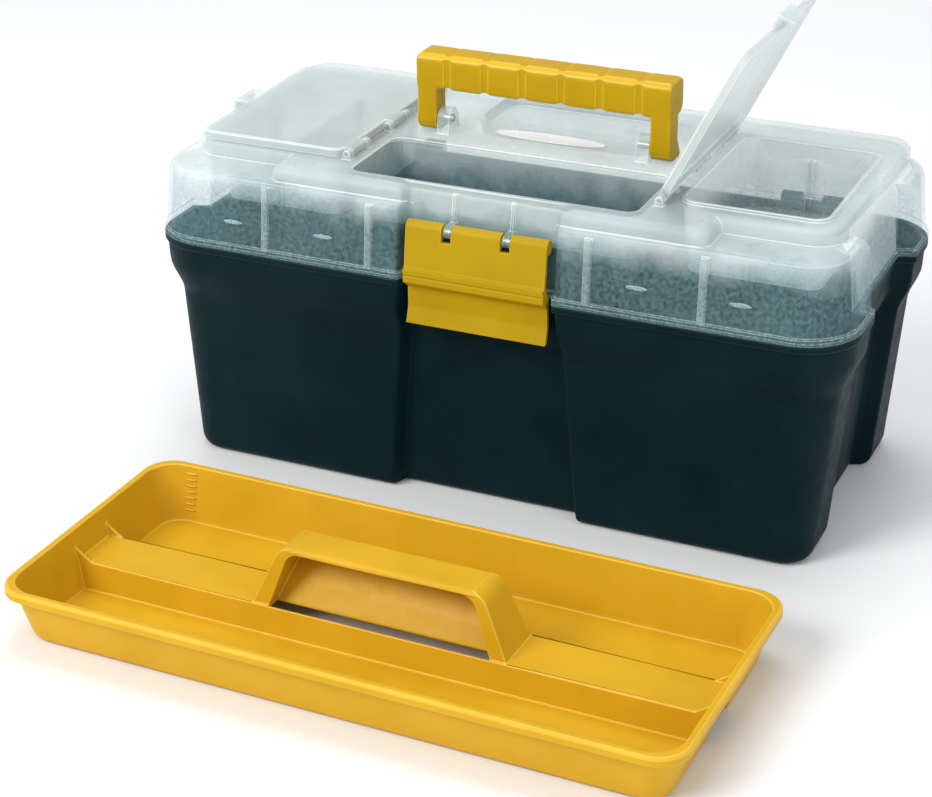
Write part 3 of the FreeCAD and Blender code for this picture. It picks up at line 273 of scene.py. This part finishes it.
# %% Cover and divider finishes
COVER_TONE = (0.66, 0.73, 0.72)
cover_clear = milky(
    "cover_milky_clear", shaded_wall_tone=COVER_TONE, lit_deck_tone=COVER_TONE,
    wall_alpha=0.42, deck_alpha=0.42, rough=0.34, grain_depth=0.00001)
divider_clear = milky(
    "divider_milky_clear", shaded_wall_tone=(0.62, 0.72, 0.73), lit_deck_tone=(0.68, 0.76, 0.76),
    wall_alpha=0.40, deck_alpha=0.40, rough=0.30, grain_depth=0.00002)

# %% [markdown]
# ## The yellow parts
# The handle and the latch are golden yellow, the latch a shade deeper. The tray is a little more
# orange. All three are satin: full gloss would be easier to see, but it would wash the colour out
# under broad light, so the specular level is kept low. They share the opaque plastic's recipe,
# because they are moulded in the same way as the tub.

# %% Handle and latch finishes
fitting_yellow = plastic(
    "fitting_golden_yellow", dark=(0.474, 0.284, 0.0010), light=(0.536, 0.322, 0.0020),
    rough=0.42, specular=0.13, grain_size=0.0009, grain_depth=0.00010, wave=0.018)
# Rounded-edge finish: a lighter shade of the yellow, a painted highlight.
fitting_edge_highlight = plastic(
    "fitting_yellow_highlight_edge", dark=(0.605, 0.362, 0.0070), light=(0.685, 0.410, 0.0120),
    rough=0.34, specular=0.28, grain_size=0.0011, grain_depth=0.00005, wave=0.018)
latch_yellow = plastic(
    "latch_deep_yellow", dark=(0.395, 0.254, 0.0012), light=(0.450, 0.290, 0.0024),
    rough=0.42, specular=0.12, grain_size=0.0009, grain_depth=0.00010, wave=0.018)
# Rounded-edge finish: a lighter shade of the latch yellow, a painted highlight.
latch_edge_highlight = plastic(
    "latch_yellow_highlight_edge", dark=(0.490, 0.330, 0.0045), light=(0.570, 0.380, 0.0085),
    rough=0.36, specular=0.24, grain_size=0.0011, grain_depth=0.00005, wave=0.018)

# %% Tray finishes
tray_yellow = plastic(
    "tray_orange_yellow", dark=(0.588, 0.330, 0.0090), light=(0.658, 0.371, 0.0142),
    rough=0.42, specular=0.17, grain_size=0.0010, grain_depth=0.00010, wave=0.02)
# Rounded-edge finish: a lighter shade of the tray yellow, a painted highlight.
tray_edge_highlight = plastic(
    "tray_yellow_highlight_edge", dark=(0.690, 0.412, 0.0225), light=(0.768, 0.460, 0.0320),
    rough=0.34, specular=0.30, grain_size=0.0012, grain_depth=0.00005, wave=0.02)

# %% [markdown]
# ## Steel pins and the blank badge
# The hinge pins are drawn wire, bright but not mirror-like. Drawing could be shown as long
# scratches, but on pins this thin a fine patchy gloss reads the same and costs less. The oval
# badge on the deck is a smooth white plate with nothing on it, so it only needs a glossier
# version of the opaque plastic.

# %% Pin and badge finishes
def steel_finish():
    """Bright drawn wire with patchy gloss."""
    material, tree, shader = new_material("pin_drawn_steel", (0.55, 0.55, 0.54), 0.25)
    shader.inputs["Metallic"].default_value = 1.0
    point = object_point(tree)
    patch = noise(tree, point, 0.0015, 3.0)
    tree.links.new(spread(tree, patch, 0.3, 0.7, 0.18, 0.34), shader.inputs["Roughness"])
    grain(tree, shader, point, size=0.0006, depth=0.00004)
    print("finish:", material.name)
    return material


pin_steel = steel_finish()
badge_white = plastic(
    "badge_blank_white", dark=(0.78, 0.80, 0.79), light=(0.87, 0.88, 0.87),
    rough=0.22, specular=0.5, grain_size=0.002, grain_depth=0.00003, wave=0.01)

# %% [markdown]
# ## Finishes on the parts
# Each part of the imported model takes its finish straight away, before any copy is made. A table
# by name is easier to check than a chain of tests, and whatever isn't in it is a pin.

# %% Give every carried-over part its finish
finishes = {
    "tub": tub_green, "tray": tray_yellow, "badge_plate": badge_white,
    "lid": lid_clear, "flip_lid_left": cover_clear, "flip_lid_right": cover_clear,
    "bin_divider_long": divider_clear, "bin_divider_cross": divider_clear,
    "handle": fitting_yellow, "latch": latch_yellow,
}
for name, part in nodes.items():
    part.data.materials.clear()
    part.data.materials.append(finishes.get(name, pin_steel))
print("finished parts:", len(nodes))

# %% [markdown]
# ## Softened moulded edges
# No injection mould leaves a knife edge: every corner has a small radius, and it is those radii
# that catch the light. A modelled part has sharp corners where its faces meet. They could be
# rounded one by one, but a Bevel modifier finds every corner sharper than a set angle. So each
# big part is copied, its loose triangles are joined into whole faces, and the copy is bevelled.
# The new faces take the second material slot, which gives the edge finish for nothing. Where that
# finish is lighter than the body, the lighter colour is a painted highlight on the radii.

# %% Copy a part as whole faces
COARSE_WELD = 0.12 * MM
FINE_WELD = 0.004 * MM


def welded_copy(part, weld):
    """A copy of a part's mesh with its loose triangles welded and paired up where flat."""
    shape = bmesh.new()
    shape.from_mesh(part.data)
    bmesh.ops.remove_doubles(shape, verts=shape.verts, dist=weld)
    bmesh.ops.join_triangles(shape, faces=shape.faces, angle_face_threshold=math.radians(0.6),
                             angle_shape_threshold=math.radians(180.0))
    mesh = bpy.data.meshes.new(part.name + "_soft")
    shape.to_mesh(mesh)
    surface = BVHTree.FromBMesh(shape)
    shape.free()
    return mesh, surface


def place_in_scene(name, data):
    """An object for a mesh, a lamp or a camera, put in the scene at the origin."""
    piece = bpy.data.objects.new(name, data)
    bpy.context.collection.objects.link(piece)
    return piece


# %% Finish a copy and stand it in for its part
STRAY_SHARE = 0.7   # of the radius: a point further off than this was thrown off the surface


def bake(piece):
    """Turn a piece and its modifiers into one plain mesh."""
    live = piece.evaluated_get(bpy.context.evaluated_depsgraph_get())
    finished = bpy.data.meshes.new_from_object(live)
    piece.modifiers.clear()
    finished.name = piece.name
    piece.data = finished


def keep_to_surface(mesh, surface, reach):
    """Pull back the few points that a tight corner threw off the real surface."""
    moved = 0
    for vertex in mesh.vertices:
        place, _, _, distance = surface.find_nearest(vertex.co)
        if distance > reach:
            vertex.co = place
            moved += 1
    return moved


def stand_in(piece, name, body):
    """Let a piece ride on a body in place of the part it was made from."""
    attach(piece, body)
    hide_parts(name)


# %% Round the edges of a copy
BEVEL_STEPS = 3
BEVEL_ABOVE = math.radians(34.0)
SHARP_ABOVE = math.radians(38.0)


def soften(name, body, body_finish, edge_finish, radius, weld=COARSE_WELD):
    """Stand a softened copy in for a part, riding on the same body."""
    mesh, surface = welded_copy(nodes[name], weld)
    mesh.materials.append(body_finish)
    mesh.materials.append(edge_finish)
    piece = place_in_scene(name + "_soft", mesh)
    bevel = piece.modifiers.new("moulded_radius", "BEVEL")
    bevel.width = radius
    bevel.segments = BEVEL_STEPS
    bevel.limit_method = "ANGLE"
    bevel.angle_limit = BEVEL_ABOVE
    bevel.use_clamp_overlap = False
    # The bevel's faces take the edge finish; where it is lighter than the body it is a painted
    # highlight.
    bevel.material = 1
    bake(piece)
    moved = keep_to_surface(piece.data, surface, STRAY_SHARE * radius)
    piece.data.shade_smooth()
    piece.data.set_sharp_from_angle(angle=SHARP_ABOVE)
    even = piece.modifiers.new("even_normals", "WEIGHTED_NORMAL")
    even.keep_sharp = True
    bake(piece)
    stand_in(piece, name, body)
    print(name, "softened:", len(piece.data.polygons), "faces,", moved, "points pulled back")
    return piece


# %% Soften the big parts
soften("tub", "box", tub_green, tub_edge_highlight, 0.7 * MM, FINE_WELD)
lid = soften("lid", "lid", lid_clear, lid_edge_thick_and_highlight, 0.6 * MM)
soften("flip_lid_left", "cover_left", cover_clear, lid_edge_thick_and_highlight, 0.4 * MM)
soften("flip_lid_right", "cover_right", cover_clear, lid_edge_thick_and_highlight, 0.4 * MM)
soften("latch", "latch", latch_yellow, latch_edge_highlight, 0.5 * MM)
soften("tray", "tray", tray_yellow, tray_edge_highlight, 0.8 * MM, 0.06 * MM)
soften("badge_plate", "lid", badge_white, badge_white, 0.3 * MM)

# %% [markdown]
# ## Thicker and deeper places of the lid
# Three areas of the lid look different from the rest: the upright ribs on its front wall are
# thicker to look through, in the bins the light crosses a wall twice, and the trough lies in
# shade. Their finishes paint this in: the ribs and bins get whiter tones, partly for the thicker
# plastic and partly as painted light, and the trough darker ones, as painted shade. They could
# be separate pieces, but then seams would show. They belong to the lid's one mesh, so their
# faces are found by place and get a further material.

# %% Where the ribs, the bins and the trough are
RIB_PLACES = (149.0 * MM, 74.5 * MM)
RIB_HALF = 2.3 * MM
RIB_TOP = lid_low[2] + 40.0 * MM
WALL_ZONE = lid_low[1] + 12.0 * MM
BIN_END = abs(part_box("flip_lid_left")[0][0])
BIN_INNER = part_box("flip_lid_pin_right")[0][0] + 8.0 * MM
divider_low, divider_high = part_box("bin_divider_long")
BIN_REACH = divider_high[1] + 9.0 * MM
BIN_FLOOR = divider_low[2] - 4.0 * MM
DECK_TOP = lid_low[2] + 58.0 * MM
TROUGH_END = BIN_INNER - 12.0 * MM
TROUGH_FRONT = lid_low[1] + 21.0 * MM
TROUGH_BACK = -22.0 * MM
TROUGH_FLOOR = lid_low[2] + 26.0 * MM
print("bins from", round(BIN_INNER, 3), "to", round(BIN_END, 3), "m either side of the middle")


# %% Tell them apart and finish them
def on_rib(x, y, z):
    """True low on the front wall, close to one of the four ribs."""
    beside = min(abs(abs(x) - place) for place in RIB_PLACES)
    return y < WALL_ZONE and z < RIB_TOP and beside < RIB_HALF


def on_bin(x, y, z):
    """True on the walls and the floor of either bin."""
    return BIN_INNER < abs(x) < BIN_END and abs(y) < BIN_REACH and BIN_FLOOR < z < DECK_TOP


def on_trough(x, y, z):
    """True on the walls and the floor of the trough."""
    return abs(x) < TROUGH_END and TROUGH_FRONT < y < TROUGH_BACK and TROUGH_FLOOR < z < DECK_TOP


def refinish(piece, finish, belongs):
    """Give the faces whose middles pass a test their own finish."""
    piece.data.materials.append(finish)
    added = len(piece.data.materials) - 1
    found = [face for face in piece.data.polygons if belongs(*face.center)]
    for face in found:
        face.material_index = added
    print(finish.name, "faces:", len(found))


refinish(lid, bin_clear, on_bin)
refinish(lid, trough_painted_shade, on_trough)
refinish(lid, lid_rib, on_rib)

# %% [markdown]
# ## The carry handle
# The handle's finger grooves meet its corners at shallow angles, where a bevel would tear. A
# voxel remesh followed by a few smoothing passes rounds every corner evenly instead. On a part
# this square, a face that looks along none of the three axes lies on a rounded edge, which is how
# the edge finish is placed.

# %% Round the carry handle
HANDLE_GRAIN = 0.62 * MM
SMOOTH_FACTOR = 0.5
SMOOTH_PASSES = 5
SQUARE_ON = 0.93


def round_handle():
    """Remesh the handle in small cubes, smooth it and mark its rounded edges."""
    mesh, _ = welded_copy(nodes["handle"], FINE_WELD)
    mesh.materials.append(fitting_yellow)
    piece = place_in_scene("handle_soft", mesh)
    cubes = piece.modifiers.new("cubes", "REMESH")
    cubes.mode = "VOXEL"
    cubes.voxel_size = HANDLE_GRAIN
    smooth = piece.modifiers.new("smooth", "SMOOTH")
    smooth.factor = SMOOTH_FACTOR
    smooth.iterations = SMOOTH_PASSES
    bake(piece)
    # The rounded edges take the lighter edge finish, a painted highlight.
    piece.data.materials.append(fitting_edge_highlight)
    for face in piece.data.polygons:
        if max(abs(part) for part in face.normal) < SQUARE_ON:
            face.material_index = 1
    piece.data.shade_smooth()
    stand_in(piece, "handle", "handle")
    print("handle rounded:", len(piece.data.polygons), "faces")


round_handle()

# %% [markdown]
# ## Rows of small moulded marks
# The lid's front wall has lens-shaped pips, and the tray's back corner has a short ladder of
# ticks. Both are the same thing: one small lens, repeated at a fixed step. Each could be placed
# by hand, but Geometry Nodes suit them better, because the count, the step and the lens's size
# stay as named inputs. The tree instances the lens on a line of points, makes the copies real,
# and gives them their finish.

# %% The row's named inputs
marks = bpy.data.node_groups.new("row_of_marks", "GeometryNodeTree")
marks.is_modifier = True
for name, kind in (("Geometry", "Geometry"), ("Count", "Int"), ("Start", "Vector"),
                   ("Step", "Vector"), ("Half Size", "Vector"), ("Finish", "Material")):
    marks.interface.new_socket(name, in_out="INPUT", socket_type="NodeSocket" + kind)
marks.interface.new_socket("Geometry", in_out="OUTPUT", socket_type="NodeSocketGeometry")
inputs = [item.name for item in marks.interface.items_tree if item.in_out == "INPUT"]
print("inputs of the row:", ", ".join(inputs))

# %% The row's nodes
LENS_SEGMENTS = 20
LENS_RINGS = 10

given = marks.nodes.new("NodeGroupInput").outputs
line = marks.nodes.new("GeometryNodeMeshLine")
lens = marks.nodes.new("GeometryNodeMeshUVSphere")
copies = marks.nodes.new("GeometryNodeInstanceOnPoints")
real = marks.nodes.new("GeometryNodeRealizeInstances")
coat = marks.nodes.new("GeometryNodeSetMaterial")
result = marks.nodes.new("NodeGroupOutput")
line.mode = "OFFSET"
lens.inputs["Segments"].default_value = LENS_SEGMENTS
lens.inputs["Rings"].default_value = LENS_RINGS
lens.inputs["Radius"].default_value = 1.0
for source, target in (
        (given["Count"], line.inputs["Count"]),
        (given["Start"], line.inputs["Start Location"]),
        (given["Step"], line.inputs["Offset"]),
        (line.outputs["Mesh"], copies.inputs["Points"]),
        (lens.outputs["Mesh"], copies.inputs["Instance"]),
        (given["Half Size"], copies.inputs["Scale"]),
        (copies.outputs["Instances"], real.inputs["Geometry"]),
        (real.outputs["Geometry"], coat.inputs["Geometry"]),
        (given["Finish"], coat.inputs["Material"]),
        (coat.outputs["Geometry"], result.inputs["Geometry"])):
    marks.links.new(source, target)
print("nodes in the row's tree:", len(marks.nodes))


# %% Build one row
def row_of_marks(name, body, count, start, step, half_size, finish):
    """Build one row of lens-shaped marks and let it ride on a body."""
    piece = place_in_scene(name, bpy.data.meshes.new(name))
    row = piece.modifiers.new("row", "NODES")
    row.node_group = marks
    values = {"Count": count, "Start": start, "Step": step, "Half Size": half_size,
              "Finish": finish}
    for socket in marks.interface.items_tree:
        if socket.in_out == "INPUT" and socket.name in values:
            row[socket.identifier] = values[socket.name]
    bake(piece)
    piece.data.shade_smooth()
    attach(piece, body)
    print(name, "marks:", count, "faces:", len(piece.data.polygons))


# %% Pips on the lid's front wall
PIP_HALF = (7.0 * MM, 0.9 * MM, 1.5 * MM)
PIP_STEP = (66.0 * MM, 0, 0)
PIP_Y = lid_low[1] + 3.4 * MM
PIP_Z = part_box("latch")[1][2] - 20.0 * MM
# The pips take the rib finish, whose whiter tone here paints their highlight.
for name, x in (("pips_front_left", -173.0 * MM), ("pips_front_right", 107.0 * MM)):
    row_of_marks(name, "lid", 2, (x, PIP_Y, PIP_Z), PIP_STEP, PIP_HALF, lid_rib)

# %% Ticks in the tray's back left corner
tray_low, tray_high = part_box("tray")
TICKS = 7
TICK_HALF = (4.0 * MM, 0.8 * MM, 0.5 * MM)
TICK_START = (tray_low[0] + 31.0 * MM, tray_high[1] - 13.2 * MM, 10.0 * MM)
TICK_STEP = (0.0, 0.98 * MM, 3.9 * MM)
# The ticks take the tray's lighter edge finish, a painted highlight.
row_of_marks("tray_ticks", "tray", TICKS, TICK_START, TICK_STEP, TICK_HALF,
             tray_edge_highlight)

# %% [markdown]
# ## Floor and light
# The box stands on a pale floor that runs out of sight. One broad key light from the upper left
# front gives the forms their shade. Small lamps would be brighter for their size, but they draw
# hard shadows and sharp glints, so all three lights are wide discs. A soft fill from the right,
# one above the back and a pale sky keep the shadows light.

# %% Floor
FLOOR_SIZE = 8.0
FLOOR_TONE = (0.86, 0.86, 0.86)

bpy.ops.mesh.primitive_plane_add(size=FLOOR_SIZE, location=(0, 0, 0))
floor = bpy.context.object
floor.name = "floor"
floor.data.materials.append(new_material("floor_pale", FLOOR_TONE, 0.8)[0])
print("floor:", FLOOR_SIZE, "m across")

# %% Lights
CENTRE = Vector((0.0, -0.1, 0.1))


def area_light(name, place, size, power):
    """A round soft light that looks at the middle of the scene."""
    data = bpy.data.lights.new(name, "AREA")
    data.shape = "DISK"
    data.size = size
    data.energy = power
    lamp = place_in_scene(name, data)
    lamp.location = place
    lamp.rotation_euler = (CENTRE - Vector(place)).to_track_quat("-Z", "Y").to_euler()
    print("light:", name, power, "W")


area_light("key", place=(-1.3, -2.2, 2.0), size=1.5, power=62.0)
area_light("fill", place=(2.2, -1.2, 1.0), size=2.0, power=14.0)
area_light("top", place=(-0.2, 0.6, 2.4), size=1.6, power=22.0)

# %% Sky
SKY_TONE = (0.95, 0.975, 1.0)
SKY_STRENGTH = 0.62

scene = bpy.context.scene
scene.world = bpy.data.worlds.new("studio")
scene.world.use_nodes = True
sky = scene.world.node_tree.nodes["Background"]
sky.inputs["Color"].default_value = (*SKY_TONE, 1.0)
sky.inputs["Strength"].default_value = SKY_STRENGTH
scene.view_settings.view_transform = "Standard"
print("sky strength:", SKY_STRENGTH)

# %% [markdown]
# ## Camera
# The camera looks down on the box from its front right. Its place could be typed in as three
# coordinates, but a point to look at, two angles and a distance are easier to picture and to
# change. The roll is the small tilt of the horizon, turned about the line of sight.

# %% Place the camera
AZIMUTH = math.radians(24.5)
ELEVATION = math.radians(26.1)
ROLL = math.radians(-0.6)
DISTANCE = 1.6004
AIM = Vector((-0.0585, 0.0010, 0.0211))
SENSOR_WIDTH = 36.0
LENS = 87.8
FARTHEST = 20.0

back = Vector((math.sin(AZIMUTH) * math.cos(ELEVATION), -math.cos(AZIMUTH) * math.cos(ELEVATION),
               math.sin(ELEVATION)))
look = (-back).to_track_quat("-Z", "Y")
camera_data = bpy.data.cameras.new("camera")
camera_data.sensor_width = SENSOR_WIDTH
camera_data.lens = LENS
camera_data.clip_end = FARTHEST
camera = place_in_scene("camera", camera_data)
camera.location = AIM + back * DISTANCE
camera.rotation_euler = (look @ Matrix.Rotation(ROLL, 3, "Z").to_quaternion()).to_euler()
bpy.context.scene.camera = camera
print("camera at", [round(number, 3) for number in camera.location])
